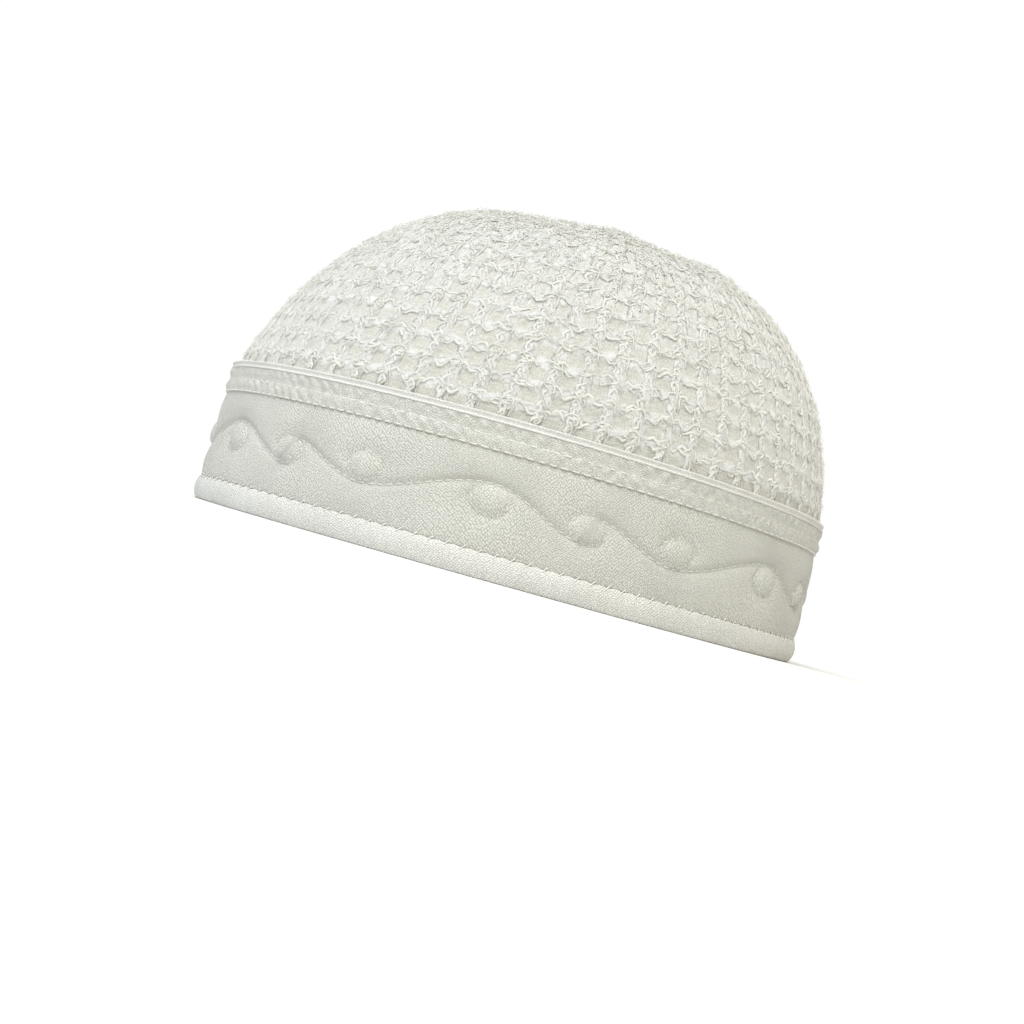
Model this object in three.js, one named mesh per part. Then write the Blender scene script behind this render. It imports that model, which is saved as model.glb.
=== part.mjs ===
// A white cotton kufi: a soft knitted crown sewn into a quilted cloth band.
// Millimetres, +Z up. The cap stands on its rim, and the origin is the centre of the rim's foot.
// -X is the front of the cap and +X the back. Bearings are degrees from -Y towards +X.
import * as THREE from "three";

// The cap
const capLength = 188; // outside, front to back, at the rim
const capWidth = 178; // outside, side to side, at the rim
const capHeight = 107.5; // rim to the top of the crown, before its folds
const clearance = 0.3; // air between two pieces that are sewn together

// The band, from the rim up: hem, panel, binding, piping
const bandHeight = 42; // rim to the top of the piping
const bandWall = 2.8; // two layers of cloth and the wadding between them
const bandLean = 1.1; // how far the top of the band stands in from the rim
const hemHeight = 6.7;
const hemSwell = 0.7; // how far the folded hem stands out
const hemFoot = 1.6; // width of the flat that the cap rests on
const bindingHeight = 6.7;
const bindingWall = 1.3;
const ribSwell = 0.8; // how far the binding's two ribs stand out
const ribCount = 2;
const pipingHeight = 1.9;
const pipingSwell = 0.5;

// The wave and the dots quilted into the panel
const waveRepeats = 6;
const waveBearing = -3.5; // bearing of the crest nearest to -Y
const waveCrowding = 6; // degrees by which the repeats are drawn together towards -Y
const quiltDepth = 0.6; // how far a line of stitches sinks into the padded cloth
const quiltReach = 1.8; // how far to each side of the stitches it does so
const dotLength = 11;
const dotHeight = 7.4;
const dotLift = 1.0; // how far a dot stands out of the cloth round it
const insideShare = 0.5; // how much of the relief shows on the inner face

// The crown
const crownWall = 2.2; // knitted yarn on its ground
const seamWall = 1.2; // the same cloth pressed flat behind the binding
const crownInset = 1.1; // how far the crown starts in from the band's face
const crownDrift = 6; // how far the top of the crown sits towards the back
const topFlatness = 3.4; // exponent: above 2 the top is flatter than a ball's
const sideFullness = 1.35; // exponent: above 1 the sides leave the band more upright

// How finely the pieces are divided
const plainColumns = 60;
const columnsPerRepeat = 20;
const crownRows = 14;
const liningRows = 9;
const bowSteps = 4;
const apexCrowding = 1.5; // exponent: above 1 the crown's rows are closer together near the top

// One repeat of the wave. turn: share of the repeat; height: share of the band's height;
// slope: rise in such shares over a whole repeat. The line meets the second dot from below
// and leaves it from above.
const waveKnots = [
  { turn: 0.0, height: 0.585, slope: 0 },
  { turn: 0.26, height: 0.385, slope: -0.5 },
  { turn: 0.345, height: 0.545, slope: -0.4 },
  { turn: 0.59, height: 0.38, slope: 0 },
];

// The three dots of one repeat, in the same shares.
const dotPlaces = [
  { turn: 0.0, height: 0.475 },
  { turn: 0.3, height: 0.465 },
  { turn: 0.6, height: 0.485 },
];

// Rows of the panel: 0 runs along the wave, -1 is the panel's foot and 1 its top.
const outerRows = [-1, -0.86, -0.6, -0.42, -0.26, -0.12, 0, 0.12, 0.26, 0.42, 0.6, 0.86, 1];
const innerRows = [1, 0.5, 0.22, 0, -0.22, -0.5, -1];

// Soft folds over the top. across: bearing square to the fold; place, halfWidth and lift:
// shares of half the cap's length, with place measured from the middle along that bearing.
const crownFolds = [
  { across: 86, place: 0.05, halfWidth: 0.07, lift: 0.014 },
  { across: 98, place: 0.31, halfWidth: 0.08, lift: 0.014 },
  { across: 80, place: -0.34, halfWidth: 0.11, lift: 0.009 },
  { across: 176, place: -0.28, halfWidth: 0.12, lift: 0.01 },
];

const meanRadius = (capLength + capWidth) / 4;
const panelFoot = hemHeight + clearance;
const pipingFoot = bandHeight - pipingHeight;
const bindingTop = pipingFoot - clearance;
const bindingFoot = bindingTop - bindingHeight;
const panelTop = bindingFoot - clearance;
const crownFoot = bandHeight + clearance;
const crownRise = capHeight - crownFoot;

const { clamp, degToRad, euclideanModulo, lerp } = THREE.MathUtils;

// Radius of the band's outer face at a height, before the cap is drawn out to its oval.
function faceRadius(height) {
  return meanRadius - (bandLean * height) / bandHeight;
}

// A closed section, given as [outward offset from the band's face, height] pairs from the foot up
// the outside and down the inside, turned round the cap.
function ring(section, columns, firstBearing = 0) {
  const profile = section.map(([offset, height]) => new THREE.Vector2(faceRadius(height) + offset, height));
  profile.push(profile[0].clone());
  return new THREE.LatheGeometry(profile, columns, firstBearing).rotateX(Math.PI / 2);
}

// Moves every vertex by move(point, bearing, radius), and then draws the round form out to the oval.
function fitToHead(geometry, move = () => {}) {
  const places = geometry.getAttribute("position");
  const point = new THREE.Vector3();
  for (let i = 0; i < places.count; i++) {
    point.fromBufferAttribute(places, i);
    move(point, Math.atan2(point.x, -point.y), Math.hypot(point.x, point.y));
    places.setXYZ(i, point.x, point.y, point.z);
  }
  geometry.scale(capLength / 2 / meanRadius, capWidth / 2 / meanRadius, 1);
  geometry.deleteAttribute("normal");
  geometry.deleteAttribute("uv");
  return geometry;
}

// Points of a low arc from one point up to another that bows outwards between them.
function bow([x0, y0], [x1, y1], swell) {
  return Array.from({ length: bowSteps + 1 }, (unused, i) => {
    const along = i / bowSteps;
    return [lerp(x0, x1, along) + swell * 4 * along * (1 - along), lerp(y0, y1, along)];
  });
}

// The hem: the band's cloth folded under and stitched down, flat where it rests.
function hemGeometry() {
  const footOuter = (hemFoot - bandWall) / 2;
  const footInner = footOuter - hemFoot;
  const section = [
    [footInner, 0],
    ...bow([footOuter, 0], [-quiltDepth, hemHeight], hemSwell + quiltDepth),
    [-bandWall, hemHeight],
    [-bandWall, hemHeight / 4],
  ];
  return fitToHead(ring(section, plainColumns));
}

// The bearing that a place in an even spread of repeats is drawn to, and the reverse.
function spreadBearing(bearing) {
  return bearing + degToRad(waveCrowding) * Math.sin(bearing);
}

function drawnBearing(spread) {
  let bearing = spread;
  for (let i = 0; i < 8; i++) bearing = spread - degToRad(waveCrowding) * Math.sin(bearing);
  return bearing;
}

const firstCrest = spreadBearing(degToRad(waveBearing));

// Height of the wave at a turn: a cubic through each pair of knots with their slopes.
function waveHeight(turn) {
  const next = waveKnots.findIndex((knot) => knot.turn > turn);
  const from = waveKnots[(next < 0 ? waveKnots.length : next) - 1];
  const to = next < 0 ? { ...waveKnots[0], turn: 1 } : waveKnots[next];
  const span = to.turn - from.turn;
  const t = (turn - from.turn) / span;
  const line = lerp(from.height, to.height, t * t * (3 - 2 * t));
  const bend = from.slope * t * (1 - t) ** 2 - to.slope * t * t * (1 - t);
  return bandHeight * (line + bend * span);
}

// How far the panel's face stands out at a turn and a height.
function quiltLift(turn, height) {
  const toStitches = Math.min(Math.abs(height - waveHeight(turn)), height - panelFoot, panelTop - height);
  const cloth = -quiltDepth * Math.exp(-((Math.max(0, toStitches) / quiltReach) ** 2));
  const repeatLength = (2 * Math.PI * meanRadius) / waveRepeats;
  const dots = dotPlaces.map((dot) => {
    const along = (euclideanModulo(turn - dot.turn + 0.5, 1) - 0.5) * repeatLength;
    const up = height - dot.height * bandHeight;
    const reach = Math.hypot(along / (dotLength / 2), up / (dotHeight / 2));
    return reach < 1 ? lerp(-quiltDepth, dotLift, Math.sqrt(1 - reach * reach)) : -quiltDepth;
  });
  return Math.max(cloth, ...dots);
}

// The quilted panel: a row of faces runs along the wave, and the columns keep step with the dots.
function panelGeometry() {
  const middle = (panelFoot + panelTop) / 2;
  const half = (panelTop - panelFoot) / 2;
  const section = [
    ...outerRows.map((row) => [0, middle + row * half]),
    ...innerRows.map((row) => [-bandWall, middle + row * half]),
  ];
  const blank = ring(section, waveRepeats * columnsPerRepeat, firstCrest);
  return fitToHead(blank, (point, spread, radius) => {
    const inside = faceRadius(point.z) - radius > bandWall / 2;
    const row = (point.z - middle) / half;
    const turn = euclideanModulo(((spread - firstCrest) / (2 * Math.PI)) * waveRepeats, 1);
    const height = lerp(waveHeight(turn), row < 0 ? panelFoot : panelTop, Math.abs(row));
    const lift = quiltLift(turn, height);
    const reach = faceRadius(height) + (inside ? -bandWall - lift * insideShare : lift);
    const bearing = drawnBearing(spread);
    point.set(reach * Math.sin(bearing), -reach * Math.cos(bearing), height);
  });
}

// The binding: a folded tape stitched down in two ribs round the top of the band.
function bindingGeometry() {
  const ribFoot = (rib) => [0, lerp(bindingFoot, bindingTop, rib / ribCount)];
  const section = [ribFoot(0)];
  for (let rib = 0; rib < ribCount; rib++) {
    section.push(...bow(ribFoot(rib), ribFoot(rib + 1), ribSwell).slice(1));
  }
  section.push([-bindingWall, bindingTop], [-bindingWall, bindingFoot]);
  return fitToHead(ring(section, plainColumns));
}

// The piping: the rolled edge where the crown leaves the band.
function pipingGeometry() {
  const section = [
    ...bow([0, pipingFoot], [0, bandHeight], pipingSwell),
    [-bindingWall, bandHeight],
    [-bindingWall, pipingFoot],
  ];
  return fitToHead(ring(section, plainColumns));
}

// The dome between its top and its foot, at a step from 1 at the top to 0 at the foot.
function domePoint(step, radius, rise) {
  const turn = (1 - (1 - step) ** apexCrowding) * (Math.PI / 2);
  return new THREE.Vector2(
    step === 1 ? 0 : radius * Math.cos(turn) ** (2 / topFlatness),
    crownFoot + rise * Math.sin(turn) ** (2 / sideFullness),
  );
}

// Lift of the soft folds at a point over the crown.
function foldLift(x, y) {
  const half = capLength / 2;
  return crownFolds.reduce((sum, fold) => {
    const across = degToRad(fold.across);
    const place = (x * Math.sin(across) - y * Math.cos(across)) / half;
    return sum + fold.lift * half * Math.exp(-(((place - fold.place) / fold.halfWidth) ** 2));
  }, 0);
}

// The crown: a hollow knitted dome, with its foot pressed flat behind the binding and the piping.
function crownGeometry() {
  const outerRadius = faceRadius(bandHeight) - crownInset;
  const seamFace = (height) => faceRadius(height) - bindingWall - clearance;
  const profile = [];
  for (let row = liningRows; row >= 0; row--) {
    profile.push(domePoint(row / liningRows, outerRadius - crownWall, crownRise - crownWall));
  }
  profile.push(
    new THREE.Vector2(seamFace(bandHeight) - seamWall, bandHeight - clearance),
    new THREE.Vector2(seamFace(bindingFoot) - seamWall, bindingFoot),
    new THREE.Vector2(seamFace(bindingFoot), bindingFoot),
    new THREE.Vector2(seamFace(crownFoot), crownFoot),
  );
  for (let row = 0; row <= crownRows; row++) {
    profile.push(domePoint(row / crownRows, outerRadius, crownRise));
  }
  const dome = new THREE.LatheGeometry(profile, plainColumns).rotateX(Math.PI / 2);
  return fitToHead(dome, (point) => {
    const share = clamp((point.z - crownFoot) / crownRise, 0, 1);
    point.z += foldLift(point.x, point.y) * share * share;
    point.x += crownDrift * share;
  });
}

const cottonCloth = new THREE.MeshStandardMaterial({ color: "#e4e4dc", roughness: 0.9, metalness: 0 });
const cottonYarn = new THREE.MeshStandardMaterial({ color: "#efefe8", roughness: 0.95, metalness: 0 });

function piece(name, geometry, material) {
  const mesh = new THREE.Mesh(geometry, material);
  mesh.name = name;
  return mesh;
}

const kufi = new THREE.Group();
kufi.add(
  piece("rim_hem", hemGeometry(), cottonCloth),
  piece("band_panel", panelGeometry(), cottonCloth),
  piece("band_binding", bindingGeometry(), cottonCloth),
  piece("band_piping", pipingGeometry(), cottonCloth),
  piece("knitted_crown", crownGeometry(), cottonYarn),
);

export default kufi;
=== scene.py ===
# A white cotton kufi: a quilted, bound and piped band under a soft knitted crown.
# The scene is in metres. Sizes below are in millimetres, and buildPiece turns them to metres.
import math
from functools import partial
import bpy
import numpy as np
from mathutils import Matrix, Vector


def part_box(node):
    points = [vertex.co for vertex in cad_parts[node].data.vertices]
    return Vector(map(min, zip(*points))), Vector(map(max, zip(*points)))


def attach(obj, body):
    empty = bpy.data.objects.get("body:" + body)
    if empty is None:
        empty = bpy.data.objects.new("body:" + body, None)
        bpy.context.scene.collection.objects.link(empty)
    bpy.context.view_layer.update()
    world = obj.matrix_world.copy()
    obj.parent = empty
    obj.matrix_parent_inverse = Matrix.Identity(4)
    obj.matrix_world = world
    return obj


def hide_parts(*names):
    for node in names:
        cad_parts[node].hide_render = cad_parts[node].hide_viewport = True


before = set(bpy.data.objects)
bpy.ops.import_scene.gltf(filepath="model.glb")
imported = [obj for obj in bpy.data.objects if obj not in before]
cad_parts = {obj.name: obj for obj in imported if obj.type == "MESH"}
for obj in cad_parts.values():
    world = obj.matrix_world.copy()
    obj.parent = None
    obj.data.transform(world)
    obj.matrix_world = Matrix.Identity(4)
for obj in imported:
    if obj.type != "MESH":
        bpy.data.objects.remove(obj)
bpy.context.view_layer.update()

mm = 0.001  # in metres
fullTurn = 2 * math.pi


def boxOf(node):  # the lowest and the highest corner of a solid
    return np.array(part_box(node)) / mm


# The cap's own form, as its solids have it.
cap = {
    "lean": 1.1,          # how far the top of the band stands in from the rim
    "wall": 2.8,          # two layers of cloth and the wadding between them
    "ribSwell": 0.8,      # how far the binding's ribs stand out
    "backBearing": 90.0,  # degrees from -Y towards +X: the band's ends are joined here
}
hemTop, crownTop = boxOf("rim_hem")[1, 2], boxOf("knitted_crown")[1, 2]
panelFoot, panelTop = boxOf("band_panel")[:, 2]
pipingFoot, bandTop = boxOf("band_piping")[:, 2]
bindingLow, bindingHigh = boxOf("band_binding")
ribFace = cap["ribSwell"] - cap["lean"] * (bindingLow[2] + bindingHigh[2]) / 2 / bandTop
halfLength, halfWidth = bindingHigh[0] - ribFace, bindingHigh[1] - ribFace
meanRadius = (halfLength + halfWidth) / 2
drawnOut = np.array([halfLength / meanRadius, halfWidth / meanRadius, 1.0])
backBearing = math.radians(cap["backBearing"])
sewingGap = pipingFoot - bindingHigh[2]


def roundTheCap(count, shift=0, start=backBearing):  # evenly spread bearings, from the join on
    return start + (np.arange(count) + shift) / count * fullTurn


def addObject(name, data):
    added = bpy.data.objects.new(name, data)
    bpy.context.scene.collection.objects.link(added)
    return added


# Joins parts, each a pair of points in millimetres and four-sided faces, into a new smooth mesh.
def buildPiece(name, parts, material, uv=None):
    starts = np.cumsum([0] + [len(points) for points, quads in parts[:-1]])
    quads = np.concatenate([quads + start for start, (points, quads) in zip(starts, parts)])
    points = np.concatenate([points for points, quads in parts])
    mesh = bpy.data.meshes.new(name)
    mesh.vertices.add(len(points))
    mesh.vertices.foreach_set("co", (points * mm).astype(np.float32).ravel())
    mesh.loops.add(quads.size)
    mesh.loops.foreach_set("vertex_index", quads.astype(np.int32).ravel())
    mesh.polygons.add(len(quads))
    mesh.polygons.foreach_set("loop_start", np.arange(0, quads.size, 4, dtype=np.int32))
    mesh.polygons.foreach_set("use_smooth", np.ones(len(quads), bool))
    if uv is not None:
        mesh.uv_layers.new(name="cloth").data.foreach_set("uv", uv.astype(np.float32).ravel())
    mesh.update(calc_edges=True)
    mesh.materials.append(material)
    piece = addObject(name, mesh)
    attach(piece, "root")
    print(name, len(points), "points", 2 * len(quads), "triangles")
    return piece


# A section carried round the cap: parts are runs of points[column, row], the outer face's going up.
# Faces join each column and row to the next, and the last to the first. With poles, strips close the
# two ends of the rows instead. u is the way round in millimetres, v the way along the section.
def aroundCap(name, parts, spread, along, material, poles=False):
    points, along = np.concatenate(parts, 1), np.concatenate(along)
    columns, rows = points.shape[:2]
    c, r = np.meshgrid(np.arange(columns), np.arange(rows - 1 if poles else rows), indexing="ij")
    corners = ((c, r), (c + 1, r), (c + 1, r + 1), (c, r + 1))
    quads = np.stack([i % columns * rows + j % rows for i, j in corners], -1).reshape(-1, 4)
    u, v = (np.append(way, 2 * way[-1] - way[-2]) for way in (np.ravel(spread) * meanRadius, along))
    uv = np.stack([np.stack([u[i], v[j]], -1) for i, j in corners], -2).reshape(-1, 2)
    if poles:
        i = np.arange(columns // 2 - 1)
        top = np.stack([i, i + 1, columns - 2 - i, columns - 1 - i], -1)
        for strip in (top * rows + rows - 1, top[:, ::-1] * rows):
            quads = np.concatenate([quads, strip])
            uv = np.concatenate([uv, np.full((strip.size, 2), v[-1])])
    return buildPiece(name, [(points.reshape(-1, 3), quads)], material, uv)


# Strands of thread along paths[strand, step], swept by a ring of points at radius[strand, step].
# The ring starts where up[strand, step] points and is flatten times as high as wide. Strips of
# four-sided faces close the ends, so sides is even.
def sweepStrands(paths, radius, up, sides=4, flatten=1.0, closed=False):
    strands, steps = paths.shape[:2]
    along = np.roll(paths, -1, 1) - np.roll(paths, 1, 1) if closed else np.gradient(paths, axis=1)
    along /= np.linalg.norm(along, axis=-1, keepdims=True) + 1e-9
    rise = up - (up * along).sum(-1, keepdims=True) * along
    rise /= np.linalg.norm(rise, axis=-1, keepdims=True) + 1e-9
    side = np.cross(along, rise)
    angle = np.arange(sides)[:, None] / sides * fullTurn
    ring = rise[..., None, :] * np.cos(angle) * flatten + side[..., None, :] * np.sin(angle)
    points = paths[..., None, :] + ring * np.broadcast_to(radius, paths.shape[:2])[..., None, None]
    index = np.arange(strands * steps * sides).reshape(strands, steps, sides)
    here, ahead = (index, np.roll(index, -1, 1)) if closed else (index[:, :-1], index[:, 1:])
    quads = np.stack([here, np.roll(here, -1, 2), np.roll(ahead, -1, 2), ahead], -1).reshape(-1, 4)
    if not closed:
        for i in range(1, sides - 1, 2):  # a strip of faces across each open end
            j = (i + 2) % sides
            strips = index[:, -1][:, [0, i, i + 1, j]], index[:, 0][:, [0, j, i + 1, i]]
            quads = np.concatenate([quads, *strips])
    return points.reshape(-1, 3), quads


# A place on the band: the face's radius at that height plus an offset, drawn out to the oval.
def onBand(bearing, offset, height):
    radius = meanRadius - cap["lean"] * height / bandTop + offset
    place = radius * np.sin(bearing), -radius * np.cos(bearing), height
    return np.stack(np.broadcast_arrays(*place), -1) * drawnOut


def outward(bearing):  # the band's outward direction
    way = np.stack([np.sin(bearing) / drawnOut[0], -np.cos(bearing) / drawnOut[1], 0 * bearing], -1)
    return way / np.linalg.norm(way, axis=-1, keepdims=True)


# Slow swelling of sewn cloth: waves round the cap whose phase turns with height.
def slack(bearing, height, seed, size):
    draw = np.random.default_rng(seed)
    total = 0
    for waves in (2, 3, 5, 8, 13):
        phase, twist = draw.uniform(0, fullTurn), draw.uniform(-0.06, 0.06)
        total = total + np.sin(waves * bearing + twist * height + phase) / math.sqrt(waves)
    return size * total / 2


def groove(distance, depth, reach):  # stitches pull the cloth in, less and less with distance
    return -depth * np.exp(-(distance / reach) ** 2)


def linear(hexColour):  # sRGB hex to linear RGBA
    channels = [int(hexColour[i:i + 2], 16) / 255 for i in (1, 3, 5)]
    bent = [c / 12.92 if c <= 0.04045 else ((c + 0.055) / 1.055) ** 2.4 for c in channels]
    return (*bent, 1.0)


# Sets a node's inputs, each to a value, to another node's output or to a node's first output.
def setInputs(node, inputs):
    for key, value in inputs.items():
        if isinstance(value, bpy.types.Node):
            value = value.outputs[0]
        if isinstance(value, bpy.types.NodeSocket):
            node.id_data.links.new(value, node.inputs[key])
        else:
            node.inputs[key].default_value = value


def addNode(tree, kind, inputs=None, **settings):
    node = tree.nodes.new("ShaderNode" + kind)
    for key, value in settings.items():
        setattr(node, key, value)
    setInputs(node, inputs or {})
    return node


# A new material without gloss, its shader and the function that adds nodes to it.
def newMaterial(name, inputs):
    material = bpy.data.materials.new(name)
    material.use_nodes = True
    shader = material.node_tree.nodes["Principled BSDF"]
    setInputs(shader, {"Specular IOR Level": 0.25, **inputs})
    return material, shader, partial(addNode, material.node_tree)


# A colour that goes from the hollows' painted shade to the pale one with share, and a relief that follows
# height.
def paleAndRaised(add, look, share, height):
    ends = {6: linear(look["hollow"]), 7: linear(look["pale"])}
    colour = add("Mix", {"Factor": share, **ends}, data_type="RGBA").outputs[2]
    return colour, add("Bump", {"Height": height, "Distance": look["relief"] * mm})


# White cotton with a birdseye weave: small pale grains in slanting rows, with hollows between them painted
# greyer as painted shade. It scatters light softly and has no gloss.
birdseye = {
    "grain": 0.58,     # mm from grain to grain
    "slant": 0.6,      # radians that the rows of grains lean
    "stretch": 1.2,    # how much longer than wide a grain is
    "stray": 0.7,      # mm that the rows stray
    "pale": "#e5e5dd",
    # painted shade: the colour of the hollows between the grains
    "hollow": "#c0c0b6",
    "relief": 0.15,    # mm
    "unevenness": 14,  # mm across a patch of slightly greyer cloth
    "mottle": 0.5,     # how much greyer
}


def clothMaterial(name, look):
    material, shader, add = newMaterial(
        name, {"Roughness": 0.92, "Sheen Weight": 0.12, "Sheen Roughness": 0.5})
    place = add("UVMap", uv_map="cloth")
    wobble = add("TexNoise", {"Vector": place, "Scale": 0.35, "Detail": 1.0}, noise_dimensions="2D")
    nudge = {0: wobble.outputs["Color"], 1: (look["stray"], look["stray"], 0.0), 2: place}
    nudged = add("VectorMath", nudge, operation="MULTIPLY_ADD")
    turned = add("Mapping", {
        "Vector": nudged,
        "Rotation": (0, 0, look["slant"]),
        "Scale": (1 / look["grain"] / look["stretch"], 1 / look["grain"], 1),
    })
    grains = add("TexVoronoi", {"Vector": turned, "Scale": 1.0, "Randomness": 0.5}, voronoi_dimensions="2D")
    bump = add("MapRange", {  # 1 in the middle of a grain, 0 in the hollows
        "Value": grains, "From Min": 0.12, "From Max": 0.62, "To Min": 1, "To Max": 0,
    }, interpolation_type="SMOOTHSTEP")
    patches = add("TexNoise", {
        "Vector": place, "Scale": 1 / look["unevenness"], "Detail": 3.0}, noise_dimensions="2D")
    mottle = look["mottle"]
    shade = add("Math", {0: patches, 1: mottle, 2: -mottle / 2}, operation="MULTIPLY_ADD")
    share = add("Math", {0: bump, 1: shade}, use_clamp=True)
    # the hollows between the grains take the painted shade colour
    colour, raised = paleAndRaised(add, look, share, bump)
    setInputs(shader, {"Base Color": colour, "Normal": raised})
    return material


# White cotton yarn, loosely spun: very pale, no gloss, with a soft fuzzy bloom at its edges, and painted
# greyer where its tufts dip, as painted shade.
yarn = {
    "pale": "#f7f7ee",
    # painted shade: the colour where the tufts dip
    "hollow": "#e6e6dd",
    "fibre": 0.7,    # mm across a tuft of fibres
    "relief": 0.12,  # mm
    "glow": 0.3,     # mm that light spreads through the loose fibres
    "glowShare": 0.3,
}


def yarnMaterial(name, look, sheen=1.0):
    material, shader, add = newMaterial(name, {
        "Roughness": 0.95, "Sheen Weight": sheen, "Sheen Roughness": 0.6,
        "Sheen Tint": linear(look["pale"]), "Subsurface Weight": look["glowShare"],
        "Subsurface Radius": (1.0, 1.0, 1.0), "Subsurface Scale": look["glow"] * mm})
    place = add("TexCoord").outputs["Object"]
    noise = add("TexNoise", {
        "Vector": place, "Scale": 1 / (look["fibre"] * mm), "Detail": 4.0, "Roughness": 0.72})
    tufts = add("MapRange", {"Value": noise, "From Min": 0.34, "From Max": 0.62})
    # the yarn's colour darkens with its relief: painted shade between the tufts
    colour, raised = paleAndRaised(add, look, tufts, tufts)
    setInputs(shader, {"Base Color": colour, "Normal": raised})
    return material


# The crown's ground: a fine plain knit with faint upright ribs, crossed by mostly level wisps of pale fibre
# with hollows between them painted greyer as painted shade. The whole knit is painted greyer than the yarn,
# as painted shade of the net on its cells. Under the net it is felted with a pale froth, where that painted
# shade gives way.
groundKnit = {
    "rib": 0.9,          # mm from rib to rib
    "wispLength": 3.2,   # mm
    "wispWidth": 0.42,   # mm
    # painted shade: the net's shade on the cells, deeper in the hollows between the wisps
    "pale": "#e1e0d6",
    "hollow": "#cbcabe",
    "relief": 0.1,       # mm
    "froth": "#f9f9f0",
    "frothFibre": 0.9,   # mm across a tuft of the froth
    "frothRelief": 0.2,  # mm
    "raggedness": 2.4,   # how much its tufts break up its edge
    "waleReach": 0.62,   # how much of the way to the next wale the froth covers, at the band
    "topReach": 1.8,     # and where the wales are drawn together
    "rowReach": 0.6,     # and of the way to the next row
    "glow": 1.8,         # mm that light spreads through the knit
}


def groundMaterial(name, look):
    material, shader, add = newMaterial(name, {
        "Roughness": 0.95, "Sheen Weight": 0.4, "Sheen Roughness": 0.5, "Subsurface Weight": 1.0,
        "Subsurface Radius": (1.0, 1.0, 1.0), "Subsurface Scale": look["glow"] * mm})
    place = add("UVMap", uv_map="cloth")

    def wisps(long, wide, turn):  # a noise drawn out along the fibres
        stretched = add("Mapping", {
            "Vector": place, "Rotation": (0, 0, turn), "Scale": (1 / long, 1 / wide, 1)})
        return add("TexNoise", {"Vector": stretched, "Scale": 1.0, "Distortion": 0.6}, noise_dimensions="2D")

    ribs = add("TexWave", {  # at scale 1 its waves are 0.314 apart
        "Vector": place, "Scale": 0.314 / look["rib"], "Distortion": 2.2, "Detail Scale": 0.7,
    }).outputs["Fac"]
    level = wisps(look["wispLength"], look["wispWidth"], 0.12)
    steep = wisps(look["wispLength"] * 0.7, look["wispWidth"], 1.35)
    most = add("Math", {0: level, 1: steep}, operation="MAXIMUM")
    both = add("Math", {0: ribs, 1: 0.12, 2: most}, operation="MULTIPLY_ADD")
    share = add("MapRange", {"Value": both, "From Min": 0.5, "From Max": 0.78})
    # the knit's colours: painted shade of the net on the cells, and of the hollows between wisps
    plain, raised = paleAndRaised(add, look, share, share)

    # How far off the nearest wale or row is: 0 on its line, 1 where the froth about it ends.
    axes = add("SeparateXYZ", {"Vector": place}).outputs
    halfWale = math.pi * meanRadius / net["wales"]
    fromFirst = add("Math", {0: axes["X"], 1: backBearing * meanRadius + halfWale}, operation="SUBTRACT")
    fromWale = add("Math", {0: fromFirst, 1: halfWale}, operation="PINGPONG")
    reach = add("MapRange", {
        "Value": axes["Y"], "From Min": 20.0, "From Max": 105.0,
        "To Min": look["waleReach"] * halfWale, "To Max": look["topReach"] * halfWale})
    offWale = add("Math", {0: fromWale, 1: reach}, operation="DIVIDE")
    fromStart = add("Math", {0: axes["Y"], 1: net["firstRow"]}, operation="SUBTRACT")
    fromRow = add("Math", {0: fromStart, 1: net["rowGap"] / 2}, operation="PINGPONG")
    offRow = add("Math", {0: fromRow, 1: look["rowReach"] * net["rowGap"] / 2}, operation="DIVIDE")
    off = add("Math", {0: offWale, 1: offRow}, operation="MINIMUM")
    tufts = add("TexNoise", {
        "Vector": place, "Scale": 1 / look["frothFibre"], "Detail": 5.0, "Roughness": 0.7,
        "Distortion": 1.2}, noise_dimensions="2D")
    ragged = add("Math", {0: tufts, 1: -look["raggedness"], 2: off}, operation="MULTIPLY_ADD")
    near = add("MapRange", {
        "Value": ragged, "From Min": -0.75, "From Max": 0.0, "To Min": 1.0, "To Max": 0.0,
    }, interpolation_type="SMOOTHSTEP")
    outside = add("Math", {0: axes["Y"], 1: -1.0}, operation="GREATER_THAN")  # v is below inside
    froth = add("Math", {0: near, 1: outside}, operation="MULTIPLY")
    # near the net the painted shade of the cells gives way to the pale froth
    ends = {6: plain, 7: linear(look["froth"])}
    colour = add("Mix", {"Factor": froth, **ends}, data_type="RGBA").outputs[2]
    height = add("Math", {0: froth, 1: tufts}, operation="MULTIPLY")
    felted = add("Bump", {"Height": height, "Distance": look["frothRelief"] * mm, "Normal": raised})
    setInputs(shader, {"Base Color": colour, "Normal": felted})
    return material


clothWhite = clothMaterial("birdseye_cotton", birdseye)
# The hem's cloth is painted paler than the panel's: painted light where the roll catches light from the
# floor. Its hollows are painted shade.
hemWhite = clothMaterial("birdseye_cotton_folded_painted_light", {**birdseye, "pale": "#f0f0ea", "hollow": "#cdcdc5"})
yarnWhite = yarnMaterial("spun_cotton_yarn", yarn)
# The tape's hollows are painted shade too, as in the rest of the cloth.
tapeWhite = clothMaterial("birdseye_cotton_tape", {
    **birdseye, "pale": "#eaeae2", "hollow": "#c6c6bc", "unevenness": 2.4, "mottle": 1.3})
# The piping's cloth is painted palest of all: a painted highlight on the band's top edge, which catches the
# light from above. Its hollows are painted shade.
edgeWhite = clothMaterial("birdseye_cotton_rolled_painted_highlight", {**birdseye, "pale": "#fbfbf5", "hollow": "#e0e0d8"})
# The thread's hollow colour is painted shade between its fibres, as in the yarn.
threadWhite = yarnMaterial("cotton_sewing_thread", {
    **yarn, "pale": "#f4f4ec", "hollow": "#e4e4dc", "fibre": 0.3, "relief": 0.03}, 0.1)
print("materials made")


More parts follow.
